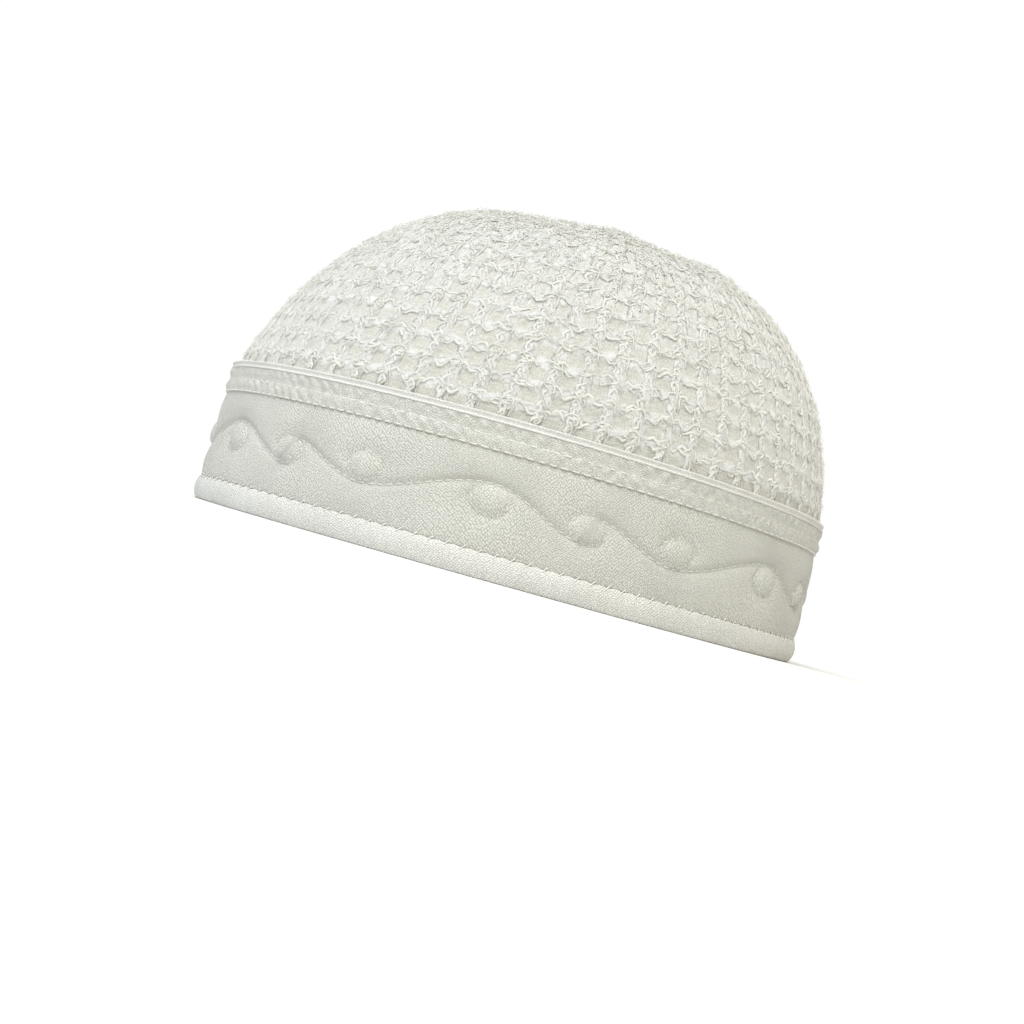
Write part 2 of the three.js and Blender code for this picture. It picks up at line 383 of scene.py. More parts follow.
# The quilted panel: a wave and dots stitched through padded cloth.
panel = {
    "repeats": 6,
    "crestBearing": -3.5,  # degrees: the crest nearest to -Y
    "crowding": 6.0,       # degrees that the repeats are drawn together towards -Y
    "waveDepth": 0.75,     # how far the stitches pull the cloth in
    "waveReach": 0.95,     # how far to each side they do so sharply
    "puff": 0.45,          # how far the padding swells between lines
    "puffReach": 3.2,
    "dotLength": 11.0,
    "dotHeight": 7.4,
    "dotLift": 0.95,
    "outlineDepth": 0.55,
    "outlineReach": 0.75,
    "inside": 0.75,        # how much of the relief shows on the inner face
    "tuck": 0.7,           # how far its edges run on behind the hem and the binding
    "columns": 780,
    "rows": 18,            # on each side of the wave, outside
    "innerRows": 11,
}
crowding = math.radians(panel["crowding"])

# One repeat of the wave. Each knot has its place as a share of the repeat, its height as a share of
# the band's, and its slope as the rise in such shares over a whole repeat.
waveKnots = [
    (0.0, 0.585, 0.0), (0.26, 0.385, -0.5), (0.345, 0.545, -0.4), (0.59, 0.38, 0.0), (1.0, 0.585, 0.0)]
dotPlaces = [(0.0, 0.475), (0.3, 0.465), (0.6, 0.485)]  # place and height, in the same shares
repeatLength = fullTurn * meanRadius / panel["repeats"]


def spreadBearing(bearing):  # the place in an even spread of repeats that a bearing stands for
    return bearing + crowding * np.sin(bearing)


def drawnBearing(spread):  # the reverse, by repeated correction
    bearing = spread
    for step in range(8):
        bearing = spread - crowding * np.sin(bearing)
    return bearing


firstCrest = spreadBearing(math.radians(panel["crestBearing"]))


def turnOf(bearing):  # how far through its repeat a bearing is, from 0 to 1
    return ((spreadBearing(bearing) - firstCrest) / fullTurn * panel["repeats"]) % 1


# The wave's height: between two knots, the cubic that has their heights and slopes.
def waveHeight(turn):
    turns, heights, slopes = np.array(waveKnots).T
    i = np.clip(np.searchsorted(turns, turn, "right") - 1, 0, len(turns) - 2)
    span = turns[i + 1] - turns[i]
    t = (turn - turns[i]) / span
    line = heights[i] + (heights[i + 1] - heights[i]) * t * t * (3 - 2 * t)
    bend = slopes[i] * t * (1 - t) ** 2 - slopes[i + 1] * t * t * (1 - t)
    return bandTop * (line + bend * span)


# How far a place lies outside the nearest dot's outline, in millimetres, and how far out in its
# oval it is, from 0 in the middle to 1 on the outline.
def dotReach(turn, height):
    reach = []
    for dotTurn, dotHeight in dotPlaces:
        across = ((turn - dotTurn + 0.5) % 1 - 0.5) * repeatLength
        up = height - dotHeight * bandTop
        reach.append(np.hypot(across / (panel["dotLength"] / 2), up / (panel["dotHeight"] / 2)))
    nearest = np.minimum.reduce(reach)
    return (nearest - 1) * math.sqrt(panel["dotLength"] * panel["dotHeight"]) / 2, nearest


# The panel's relief: sharp grooves along the wave and round the dots, padding that swells away
# from them, and a low dome on each dot. Past its edges the cloth runs on behind its neighbours.
def quiltLift(turn, height):
    step = 1e-3
    rise = (waveHeight((turn + step) % 1) - waveHeight(turn)) / (step * repeatLength)
    fromWave = np.abs(height - waveHeight(turn)) / np.hypot(1, np.clip(rise, -1.2, 1.2))
    fromDot, reach = dotReach(turn, height)
    fromEdge = np.minimum(height - panelFoot, panelTop - height)
    inset = np.maximum(fromEdge, 0)
    cloth = np.minimum.reduce([
        groove(fromWave, panel["waveDepth"], panel["waveReach"]),
        groove(fromDot, panel["outlineDepth"], panel["outlineReach"]),
        groove(inset, 0.22, 0.9),
    ])
    nearest = np.minimum.reduce([fromWave, np.abs(fromDot), inset])
    cloth = cloth + panel["puff"] * (1 - np.exp(-(nearest / panel["puffReach"]) ** 2))
    dome = np.sqrt(np.clip(1 - reach ** 2.3, 0, 1))
    dome = -panel["outlineDepth"] + (panel["dotLift"] + panel["outlineDepth"]) * dome
    return np.where(reach < 1, dome, cloth) - 0.25 * panel["puff"] + 0.5 * np.minimum(fromEdge, 0)


# The join in the back: a plain seam pulls the cloth in along an upright line.
def backSeam(bearing):
    across = ((bearing - backBearing + math.pi) % fullTurn - math.pi) * meanRadius
    return groove(across, 0.45, 0.7)


def panelSlack(bearing, height):  # the cloth can't swell near the hem and the binding
    pull = np.clip(np.minimum(height - panelFoot, panelTop - height) / 3, 0, 1)
    return slack(bearing, height, 11, 0.22) * pull


def panelFace(bearing, height):  # how far the outer face stands out
    return quiltLift(turnOf(bearing), height) + backSeam(bearing) + panelSlack(bearing, height)


def panelBack(bearing, height):  # how far the inner face stands out
    relief = -panel["inside"] * quiltLift(turnOf(bearing), height)
    return -cap["wall"] + relief - 0.5 * backSeam(bearing) + panelSlack(bearing, height)


def makePanel():
    spread = roundTheCap(panel["columns"], start=spreadBearing(backBearing))
    bearing = drawnBearing(spread)[:, None]
    wave = waveHeight(turnOf(bearing))
    low, high = panelFoot - panel["tuck"], panelTop + panel["tuck"]
    outer = np.linspace(-1, 1, 2 * panel["rows"] + 1)
    inner = np.linspace(1, -1, 2 * panel["innerRows"] + 1)
    # rows crowd towards the wave, so that its groove is sharp
    heights = [wave + np.abs(row) ** 1.15 * (np.where(row < 0, low, high) - wave) for row in (outer, inner)]
    length = high - low
    piece = aroundCap("quilted_panel", [
        onBand(bearing, panelFace(bearing, heights[0]), heights[0]),
        onBand(bearing, panelBack(bearing, heights[1]), heights[1]),
    ], spread, [low + (outer + 1) / 2 * length, high + 4 + (1 - inner) / 2 * length], clothWhite)
    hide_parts("band_panel")


makePanel()

# The hem: the cloth folded under, a soft roll that is stitched down along its top.
hem = {
    "foot": 1.6,     # width of the flat that the cap rests on
    "swell": 1.15,   # how far the roll stands out
    "edge": -0.28,   # where its top edge lies
    "stitch": 4.3,   # from stitch to stitch along its top
    "pucker": 0.2,   # how far the cloth rises between two stitches
    "wander": 0.16,  # how far its top edge rises between two stitches
    "lean": 2.2,     # radians that the puckers lean with the thread
    "columns": 720,
    "rows": 16,
}
hemStitches = round(fullTurn * meanRadius / hem["stitch"])
footFace, footBack = (hem["foot"] - cap["wall"]) / 2, -(cap["wall"] + hem["foot"]) / 2


# The hem's outer face at a share of its height: a low arc from the foot to the groove at its top,
# with a pucker between stitches.
def hemFace(bearing, share):
    arc = footFace + (hem["edge"] - footFace) * share ** 2 + hem["swell"] * (4 * share * (1 - share)) ** 0.75
    pucker = np.sin(hemStitches * (bearing - backBearing) + hem["lean"] * share)
    pucker = pucker * 4 * share ** 2 * (1 - share)
    loose = (backSeam(bearing) + slack(bearing, 8 * share, 11, 0.18)) * np.sin(math.pi * share)
    return arc + hem["pucker"] * pucker + loose


def hemHeight(bearing, share):  # its top edge dips a little at each stitch
    dip = np.sin(hemStitches * (bearing - backBearing) + hem["lean"])
    return hemTop * share + hem["wander"] * dip * share ** 4


def makeHem():
    bearing = roundTheCap(hem["columns"])[:, None]
    share = 0.5 - 0.5 * np.cos(np.linspace(0, math.pi, hem["rows"]))
    inside = -cap["wall"]
    back = np.array([  # offset and height, down the inner face and across the foot
        [inside + 1.2, hemTop - 0.1],
        [inside + 0.4, hemTop],
        [inside + 0.05, hemTop - 0.4],
        [inside - 0.25, hemTop * 0.7],
        [inside - 0.25, hemTop * 0.35],
        [inside + 0.1, 0.7],
        [footBack, 0.0],
        [0.5 * (footBack + footFace), 0.0],
    ])
    piece = aroundCap("folded_hem", [
        onBand(bearing, hemFace(bearing, share), hemHeight(bearing, share)),
        onBand(bearing, *back.T[:, None]),
    ], bearing, [share * hemTop * 1.1, hemTop * 2.2 + 2 - back[:, 1]], hemWhite)
    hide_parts("rim_hem")


makeHem()

# The binding: a folded tape stitched down in two ribs that twist and crease a little.
binding = {
    "wall": 1.3,
    "lap": 0.3,         # how far its lower edge laps over the panel
    "crease": 4.2,      # from crease to crease along a rib
    "creaseDepth": 0.48,
    "cords": ((0.04, 0.1), (0.52, 0.26), (1.0, 0.4)),  # share of the height and lift of each
    "cordWidth": 0.07,  # share of the height
    "sewnDown": 0.6,    # how far its lowest edge is pulled in
    "columns": 960,
    "rows": 28,
    "ribs": 2,
}
bindingFoot = bindingLow[2] - binding["lap"]
bindingRise = pipingFoot - bindingFoot


# The binding's outer face at a share of its height: a low arc for each rib, slanting creases that
# wander and fade in and out, and folded edges that stand up as thin cords.
def bindingFace(bearing, share):
    inRib = (share * binding["ribs"]) % 1
    bulge = 4 * inRib ** 1.6 * (1 - inRib ** 1.6)
    creases = round(fullTurn * meanRadius / binding["crease"])
    lean = 5.0 * share + 1.4 * np.sin(7 * bearing) + 0.9 * np.sin(23 * bearing + 1)
    crease = np.sin(creases * (bearing - backBearing) + lean) * binding["creaseDepth"] * bulge
    worn = 0.55 + 0.45 * np.sin(11 * bearing + 9 * share + 2)
    arc = -0.2 + (cap["ribSwell"] - 0.25) * bulge ** 0.6
    for edge, lift in binding["cords"]:
        arc = arc + lift * np.exp(-((share - edge) / binding["cordWidth"]) ** 2)
    arc = arc - binding["sewnDown"] * np.exp(-(share / 0.02) ** 2)
    return arc + crease * worn + 0.5 * backSeam(bearing) + slack(bearing, 6 * share, 23, 0.1)


def makeBinding():
    bearing = roundTheCap(binding["columns"])[:, None]
    share = np.linspace(0, 1 - 1e-6, binding["rows"])
    alongBack = np.array([1.2, 2.2]) * bindingRise + binding["wall"]
    piece = aroundCap("ribbed_binding", [
        onBand(bearing, bindingFace(bearing, share), bindingFoot + bindingRise * share),
        onBand(bearing, -binding["wall"], np.array([[pipingFoot, bindingFoot]])),
    ], bearing, [share * bindingRise * 1.2, alongBack], tapeWhite)
    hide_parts("band_binding")


makeBinding()

# The piping: the rolled edge of the band, with a thin lip along its top and its foot.
piping = {
    "wall": 1.3,
    "swell": 0.3,
    "lip": 0.36,      # how far the lips stand out from it
    "footLip": 0.16,  # where they lie, as shares of its height
    "topLip": 0.84,
    "turnedIn": 1.6,  # how far its lower edge is turned in, for a lip's height
    "reachIn": 0.45,  # how far its top reaches in to the crown
    "columns": 600,
    "rows": 15,
}


def pipingFace(bearing, share):  # a bell-shaped lip near each edge of a flat strip
    lips = np.exp(-((share - piping["footLip"]) / 0.13) ** 2)
    lips = lips + np.exp(-((share - piping["topLip"]) / 0.14) ** 2)
    lips = lips - piping["turnedIn"] * np.exp(-(share / 0.03) ** 2)
    return piping["swell"] + piping["lip"] * lips + slack(bearing, 3 * share, 23, 0.1)


def makePiping():
    bearing = roundTheCap(piping["columns"])[:, None]
    share = np.linspace(0, 1 - 1e-6, piping["rows"])
    low, rise, wall = pipingFoot - 0.1, bandTop - pipingFoot + 0.1, piping["wall"]
    back = np.array([[-wall - piping["reachIn"], bandTop], [-wall, low]])  # offset and height
    piece = aroundCap("edge_piping", [
        onBand(bearing, pipingFace(bearing, share), low + rise * share),
        onBand(bearing, *back.T[:, None]),
    ], bearing, [share * rise * 1.6, np.array([1.6, 2.6]) * rise + wall], edgeWhite)
    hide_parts("band_piping")


makePiping()

# The stitches: short lengths of thread that dive into the cloth at both ends.
stitch = {
    "radius": 0.18,
    "quilting": 2.7,     # from stitch to stitch along the wave
    "dots": 0.8,         # share of that from stitch to stitch round a dot
    "share": 0.8,        # how much of its pitch a stitch covers
    "binding": 3.0,
    "rise": 0.2,         # how high its middle lies on the cloth
    "dive": 0.32,        # how deep its ends go
    "slantAcross": 1.5,  # mm round the band from end to end of a hem stitch
    "slantUp": 1.7,      # and up it
}


# Stitches through bearing[stitch, point] and height[stitch, point], five points each, laid on the
# face that gives the offset there. side is 1 outside and -1 inside.
def threads(bearing, height, face, side=1):
    sunk = side * (stitch["rise"] - (stitch["rise"] + stitch["dive"]) * np.linspace(-1, 1, 5) ** 4)
    points = onBand(bearing, face(bearing, height) + sunk, height)
    return sweepStrands(points, stitch["radius"], side * outward(bearing))


# Cuts a line, given as bearing and height, into stitches of an even pitch.
def cutLine(bearing, height, pitch):
    length = np.concatenate([[0], np.cumsum(np.hypot(np.diff(bearing) * meanRadius, np.diff(height)))])
    count = max(1, round(length[-1] / pitch))
    middle = (np.arange(count) + 0.5) / count * length[-1]
    reach = length[-1] / count * stitch["share"] / 2
    place = middle[:, None] + np.linspace(-reach, reach, 5)
    return np.interp(place, length, bearing), np.interp(place, length, height)


def makeStitches():
    turns = np.linspace(0, 1, 400)
    outside, inside = [], []

    def quilt(bearing, height):  # a stitch through the padding shows on both faces
        outside.append(threads(bearing, height, panelFace))
        inside.append(threads(bearing, height, panelBack, -1))

    for repeat in range(panel["repeats"]):
        start = firstCrest + repeat / panel["repeats"] * fullTurn
        wave = drawnBearing(start + turns * fullTurn / panel["repeats"])
        crossing = dotReach(turns, waveHeight(turns))[1] < 1.02  # a dot lies over the line
        for run in np.split(np.arange(len(turns)), np.where(np.diff(crossing.astype(int)))[0] + 1):
            if len(run) > 8 and not crossing[run[0]]:
                quilt(*cutLine(wave[run], waveHeight(turns[run]), stitch["quilting"]))
        for turn, height in dotPlaces:
            angle = np.linspace(0, fullTurn, 61)
            spread = start + (turn * repeatLength + panel["dotLength"] / 2 * np.cos(angle)) / meanRadius
            height = height * bandTop + panel["dotHeight"] / 2 * np.sin(angle)
            quilt(*cutLine(drawnBearing(spread), height, stitch["quilting"] * stitch["dots"]))
    slant = np.linspace(-0.5, 0.5, 5)
    bearing = roundTheCap(hemStitches, 0.4)[:, None] + slant * stitch["slantAcross"] / meanRadius
    height = hemTop + 0.05 + slant * stitch["slantUp"] + 0 * bearing

    def hemOrPanel(bearing, height):  # the face that lies there, on either side of the hem's edge
        onHem = hemFace(bearing, np.minimum(height / hemTop, 1))
        return np.where(height < hemTop, onHem, panelFace(bearing, height))

    def tape(bearing, height):  # on the binding, a little sunk
        return bindingFace(bearing, np.clip((height - bindingFoot) / bindingRise, 0, 1)) - 0.03

    def level(height, pitch, face, side=1):  # a level line of stitches all round
        full = np.linspace(0, fullTurn, 721)
        return threads(*cutLine(full, height + 0 * full, pitch), face, side)

    outside.append(threads(bearing, height, hemOrPanel))
    for share in (0.05, 0.5):
        outside.append(level(bindingFoot + bindingRise * share, stitch["binding"], tape))
    seamInside = -binding["wall"] - sewingGap - crown["seamWall"]
    for share in (0.08, 0.5):
        height = bindingFoot + bindingRise * share
        inside.append(level(height, stitch["binding"], lambda *place: seamInside, -1))
    inside.append(level(hemTop + 0.2, hem["stitch"], lambda *place: 0.1 - cap["wall"], -1))
    for name, parts in (("stitches_outside", outside), ("stitches_inside", inside)):
        piece = buildPiece(name, parts, threadWhite)


# The crown's form: a dome whose section is a flattened, upright oval, drawn towards the back.
crown = {
    "inset": 1.1,     # how far it starts in from the band's face
    "drift": 6.0,     # how far its top sits towards the back
    "flatness": 3.4,
    "fullness": 1.35,
    "wall": 2.2,      # ground and yarn together
    "seamWall": 1.2,  # pressed flat behind the binding
    "ground": 1.4,    # thickness of the ground under the yarn
    "sag": 0.3,       # how far the soft knit rises and falls
    "mound": 0.5,     # how far the ground rises under the net
    "moundReach": 0.42,
    "columns": 264,   # four for each wale
    "rowsPerGap": 4,  # for each row of the net
    "innerRows": 26,
}

# Soft folds over the top. Each has the bearing square to it, and its place along that bearing, its
# half width and its lift, all as shares of half the cap's length.
crownFolds = [
    (86, 0.05, 0.07, 0.014),
    (98, 0.31, 0.08, 0.014),
    (80, -0.34, 0.11, 0.009),
    (176, -0.28, 0.12, 0.01),
]
crownFoot = bandTop + sewingGap


def foldLift(x, y):  # each fold is a bell-shaped ridge
    total = 0
    for bearing, middle, width, lift in crownFolds:
        across = math.radians(bearing)
        place = (x * math.sin(across) - y * math.cos(across)) / halfLength
        total = total + lift * halfLength * np.exp(-((place - middle) / width) ** 2)
    return total


crownRise = crownTop - crownFoot - foldLift(0.07 * halfLength, 0)
domeTurn = (1 - (1 - np.linspace(0, 1, 3000)) ** 1.5) * math.pi / 2
domeRadius = (meanRadius - cap["lean"] - crown["inset"]) * np.cos(domeTurn).clip(0) ** (2 / crown["flatness"])
domeHeight = crownRise * np.sin(domeTurn) ** (2 / crown["fullness"])
domeArc = np.concatenate([[0], np.cumsum(np.hypot(np.diff(domeRadius), np.diff(domeHeight)))])
arcLength = domeArc[-1]


def radiusAt(arc):  # the dome's radius so far up its side
    return np.interp(arc, domeArc, domeRadius)


# Sums of slow waves round the cap, each with its own twist up the crown.
def slowWaves(bearing, arc, seed, wavesRound, fade):
    draw = np.random.default_rng(seed)
    total = 0
    for waves in wavesRound:
        twist, phase = draw.uniform(0.03, 0.12), draw.uniform(0, fullTurn)
        total = total + np.sin(waves * bearing + twist * arc + phase) / waves ** fade
    return total / 2


# A place so far up the dome's side and so far off its surface, and the surface's direction there,
# which is square to the section's slope and follows the oval.
def onCrown(bearing, arc, lift=0.0):
    below, arc = np.minimum(arc, 0), np.clip(arc, 0, arcLength)
    radius, height = radiusAt(arc), np.interp(arc, domeArc, domeHeight) + below
    low, high = np.clip(arc - 0.6, 0, arcLength), np.clip(arc + 0.6, 0, arcLength)
    slopeR = radiusAt(high) - radiusAt(low)
    slopeZ = np.interp(high, domeArc, domeHeight) - np.interp(low, domeArc, domeHeight)
    length = np.hypot(slopeR, slopeZ)
    normal = np.stack(np.broadcast_arrays(
        slopeZ / length * np.sin(bearing) / drawnOut[0],
        -slopeZ / length * np.cos(bearing) / drawnOut[1],
        -slopeR / length), -1)
    normal /= np.linalg.norm(normal, axis=-1, keepdims=True)
    x, y = radius * np.sin(bearing), -radius * np.cos(bearing)
    share = np.clip(height / crownRise, 0, 1)
    place = np.stack(np.broadcast_arrays(
        x + crown["drift"] * share, y, crownFoot + height + foldLift(x, y) * share ** 2), -1) * drawnOut
    soft = crown["sag"] * slowWaves(bearing, arc, 41, (3, 5, 8, 12), 0.5)
    soft = soft * np.sin(math.pi * np.clip(arc / arcLength, 0, 1)) ** 0.7
    return place + normal * (lift + soft)[..., None], normal


yarnBed = crown["ground"] - crown["wall"]  # the ground's face, below the dome's own surface


# The net over the ground: upright wales of loosely bundled yarn, each with a thin straight thread
# beside it, crossed by rows of frayed strands, with a hook and a short bar of yarn where they meet.
net = {
    "wales": 66,
    "narrowest": 1.7,    # every second wale ends where they would come closer than this
    "firstRow": 4.0,     # up the dome from the band
    "rowGap": 6.7,
    "bareTop": 24,       # no row lies nearer to the apex
    "yarn": 0.52,        # half the width of a main strand
    "flatness": 0.34,    # how high it is for its width
    "fine": 0.16,        # radius of a loose fibre
    "twist": 1.2,        # how far a wale's strands swing to each side
    "twistLength": 7.2,  # of one whole swing
    "core": 1.25,        # half the width of the flat strand under the bundle
    "fray": 1.7,         # how far the loose fibre swings
    "sideThread": 1.65,  # how far the straight thread runs from the wale's middle
    "hook": 0.28,        # half the width of a hook's strand
    "bar": 0.36,         # and of the bar across its foot
    "hookFlatness": 0.5,
    "stray": 0.7,        # how far the knit strays from its even lines
    "fluff": 7600,       # single fibres that stand off the yarn
    "fluffRadius": 0.09,
}


def onNet(bearing, arc, lift):  # a place on the crown, with the knit's straying
    radius = radiusAt(arc)
    sideways, up = (net["stray"] * slowWaves(bearing, arc, seed, (3, 7, 11, 19), 0.4) for seed in (31, 37))
    sideways = sideways * np.clip(radius / 30, 0, 1)
    up = up * np.clip(arc / 12, 0, 1) * np.clip((arcLength - arc) / 20, 0, 1)
    return onCrown(bearing + sideways / np.maximum(radius, 4), arc + up, yarnBed + lift)


def makeGround():
    bearing = roundTheCap(crown["columns"])[:, None]
    # down the inside from the apex, round the seam allowance and up the outside
    innerArc = arcLength * (1 - np.linspace(0.012, 1, crown["innerRows"]) ** 1.15)
    step = net["rowGap"] / crown["rowsPerGap"]
    outerArc = np.arange(net["firstRow"] % step, arcLength - 8, step)
    outerArc = np.concatenate([[0], outerArc, arcLength - np.array([6.4, 4.6, 3.0, 1.8, 0.8])])
    # 0 on a wale or a row, 1 half way to the next; the mound is a bell on the lines
    offWale = np.abs((bearing - backBearing) / fullTurn * net["wales"] % 1 - 0.5) * 2
    offRow = np.abs(((outerArc - net["firstRow"]) / net["rowGap"] + 0.5) % 1 - 0.5) * 2
    onWale, onRow = (np.exp(-(off / crown["moundReach"]) ** 2) for off in (offWale, offRow))
    fade = np.clip(outerArc / 3, 0, 1), np.clip((arcLength - outerArc - 12) / 40, 0, 1)
    mound = crown["mound"] * np.maximum(onWale, 0.7 * onRow) * fade[0] * fade[1]
    seamFace = -binding["wall"] - sewingGap
    seamBack = seamFace - crown["seamWall"]
    seam = np.array([  # offset and height
        [seamBack, bandTop - 1.0],
        [seamBack, bandTop - 4.5],
        [seamBack, bindingLow[2] + 0.4],
        [seamBack + 0.4, bindingLow[2]],
        [seamFace, bindingLow[2]],
        [seamFace, bandTop]])
    along = [-20 - innerArc[::-1], np.array([-19, -15.5, -12, -11, -10, -1]), outerArc]
    piece = aroundCap("knit_ground", [
        onCrown(bearing, innerArc, -crown["wall"])[0],
        onBand(bearing, *seam.T[:, None]),
        onNet(bearing, outerArc, mound)[0],
    ], bearing, along, groundWhite, poles=True)
    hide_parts("knitted_crown")


groundWhite = groundMaterial("fine_cotton_knit", groundKnit)
makeGround()
makeStitches()


# Where each wale ends: where those that go on would stand closer than narrowest.
def waleEnds():
    ends = np.zeros(net["wales"])
    count, members = net["wales"], np.arange(net["wales"])
    while count > 8:
        limit = count * net["narrowest"] / fullTurn
        ends[members] = min(np.interp(-limit, -domeRadius, domeArc), arcLength - 1.6)
        members, count = members[::2], (count + 1) // 2
    ends[members] = arcLength - 1.6
    return ends


waleBearing = roundTheCap(net["wales"], 0.5)
waleEnd = waleEnds()
rowArcs = np.arange(net["firstRow"], arcLength - net["bareTop"], net["rowGap"])


def sideRadius(arc):  # turns millimetres sideways into bearing, also close to the apex
    return np.maximum(radiusAt(arc), 2.5)


def roomAt(radius):  # how much smaller the yarn is drawn where the wales crowd
    return np.clip(radius / 45, 0.4, 1)


# Strands up every wale. swing(arc, start) says how far to the side and how high a strand lies, in
# millimetres. Each wale has its own start.
def upWales(swing, radius, step, seed, flatten=1.0):
    draw = np.random.default_rng(seed)
    parts = []
    for end in np.unique(waleEnd):
        bearing = waleBearing[waleEnd == end][:, None]
        arc = np.linspace(-0.9, end, int(end / step))[None]
        start = draw.uniform(0, fullTurn, bearing.shape)
        across, lift = swing(arc, start)
        slim = np.clip(sideRadius(arc) / 55, 0.42, 1)
        bearing = bearing + across * slim / sideRadius(arc)
        place, up = onNet(bearing, arc, lift * slim - 0.08 * (1 - slim))
        uneven = slim + 0.18 * np.sin(1.7 * arc + 7 * start) + 0.1 * np.sin(4.1 * arc + 2 * start)
        parts.append(sweepStrands(place, radius * uneven, up, flatten=flatten))
    return parts


# A wale: a loose bundle of three flat strands that swing from side to side, each in its own time,
# and rise and fall twice as fast, so that they pass over and under each other.
def wales():
    parts = []
    for strand in range(3):
        def swing(arc, start, third=strand * fullTurn / 3):
            uneven = 0.6 * np.sin(0.31 * arc + 3 * start)
            turn = arc / net["twistLength"] * fullTurn + start + third + uneven
            drift = 0.25 * np.sin(2.3 * arc + 5 * start + third)
            wander = 0.75 * np.sin(turn) + 0.35 * np.sin(1.7 * turn + 2 * start)
            return net["twist"] * wander + drift - 0.3, net["yarn"] * (0.6 + 0.3 * np.cos(2 * turn + 0.6))
        parts += upWales(swing, net["yarn"], 1.1, 5, net["flatness"])
    return parts


# A fibre that wanders about each wale, a flat strand under it and a straight thread beside it.
def waleFibres():
    def loose(arc, start):
        turn = 0.55 * arc + start
        across = net["fray"] * (0.6 * np.sin(turn) + 0.4 * np.sin(2.7 * turn)) - 0.3
        return across, 0.45 + 0.3 * np.sin(1.9 * arc + 3 * start)

    def core(arc, start):
        return -0.25 + 0.2 * np.sin(0.5 * arc + start), 0.18

    def straight(arc, start):
        lift = 0.15 + 0.1 * np.cos(arc / net["rowGap"] * fullTurn)
        return net["sideThread"] + 0.3 * np.sin(0.8 * arc + start), lift

    return [*upWales(loose, net["fine"], 1.6, 60), *upWales(core, net["core"], 2.2, 80, 0.18),
            *upWales(straight, 0.15, 1.8, 70)]


# Rows round the crown: two main strands side by side and two fine fibres that wander further. Each
# sways, rises over the wales and grows thicker and thinner.
mainStrand = {"step": 1.1, "radius": net["yarn"] * 0.95, "swing": 0.95, "flatten": net["flatness"]}
fineStrand = {"step": 1.6, "radius": net["fine"], "swing": 1.1, "flatten": 1.0, "aside": 0}
rowStrands = [{**mainStrand, "aside": -0.35}, {**mainStrand, "aside": 0.35}, fineStrand, fineStrand]


def rows():
    draw = np.random.default_rng(9)
    main, fine = [], []
    for row in rowArcs:
        radius = float(radiusAt(row))
        room = float(roomAt(radius))
        alive = waleBearing[waleEnd > row - 2]
        for strand in rowStrands:
            bearing = roundTheCap(max(40, int(fullTurn * radius / strand["step"])))[None]
            gap = np.abs((bearing[..., None] - alive + math.pi) % fullTurn - math.pi).min(-1) * radius
            crossing = np.exp(-(gap / 1.4) ** 2)
            phase = draw.uniform(0, fullTurn, 4)
            slow, quick, rising, thick = (
                np.sin(round(radius * rate) * bearing + start)
                for rate, start in zip((0.55, 1.5, 0.9, 0.7), phase))
            away = (slow + 0.7 * quick) * strand["swing"] * (1 - 0.5 * crossing) * room
            away = away + strand["aside"] * room
            lift = (0.18 + 0.28 * crossing + 0.13 * rising) * room - 0.1 * (1 - room)
            place, up = onNet(bearing, row + away, lift)
            swept = sweepStrands(
                place, strand["radius"] * (1 + 0.3 * thick), up, flatten=strand["flatten"], closed=True)
            (fine if strand is fineStrand else main).append(swept)
    return main, fine


# Every place where a row meets a wale: the wale's bearing, the row's arc and the room there.
def crossings():
    found = [(bearing, row) for row in rowArcs for bearing in waleBearing[waleEnd > row - 2]]
    bearing, arc = np.array(found).T
    return bearing[:, None], arc[:, None], roomAt(radiusAt(arc))[:, None]


# Puts strands drawn at the crossings on the crown: across and along are millimetres from there.
def atCrossings(across, along, lift, radius):
    bearing, arc, room = crossings()
    lift = lift * room - 0.15 * (1 - room)
    place, up = onNet(bearing + across * room / sideRadius(arc), arc + along * room, lift)
    return sweepStrands(place, radius * np.sqrt(room), up, flatten=net["hookFlatness"])


# A hook of yarn at each crossing: an arch from the left over the top that runs down on the right
# into the straight thread. A short bent bar lies across its foot.
def hooks():
    draw = np.random.default_rng(17)
    count = len(crossings()[0])

    def between(low, high):  # a number for each crossing
        return draw.uniform(low, high, (count, 1))

    size = between(0.8, 1.2)
    turn = np.linspace(math.radians(205), math.radians(-15), 7)[None]
    arch = -0.3 + 1.7 * size * np.cos(turn), 0.2 + 1.3 * size * np.sin(turn)
    down = np.linspace(0.6, 2.4, 2)[None]
    across = np.concatenate([arch[0], net["sideThread"] + 0 * down * size], 1)
    along = np.concatenate([arch[1], -0.2 - down * size], 1)
    across = across + draw.uniform(-0.25, 0.25, across.shape)
    lift = 0.45 + 0.2 * np.sin(np.linspace(0, math.pi, across.shape[1])) + between(-0.1, 0.2)
    arches = atCrossings(across, along, lift - 0.2, net["hook"])
    tilt = between(-0.9, 0.9)
    reach = np.linspace(-1.6, 1.6, 5)[None] * between(0.7, 1.15)
    bow = 0.5 * np.cos(np.linspace(-math.pi / 2, math.pi / 2, 5)) * between(-1, 1)
    across = reach * np.cos(tilt) - bow * np.sin(tilt) - 0.4
    along = reach * np.sin(tilt) + bow * np.cos(tilt)
    lift = 0.5 + 0.2 * np.cos(np.linspace(-1.5, 1.5, 5)) + between(-0.1, 0.2)
    return [arches, atCrossings(across, along, lift - 0.2, net["bar"])]


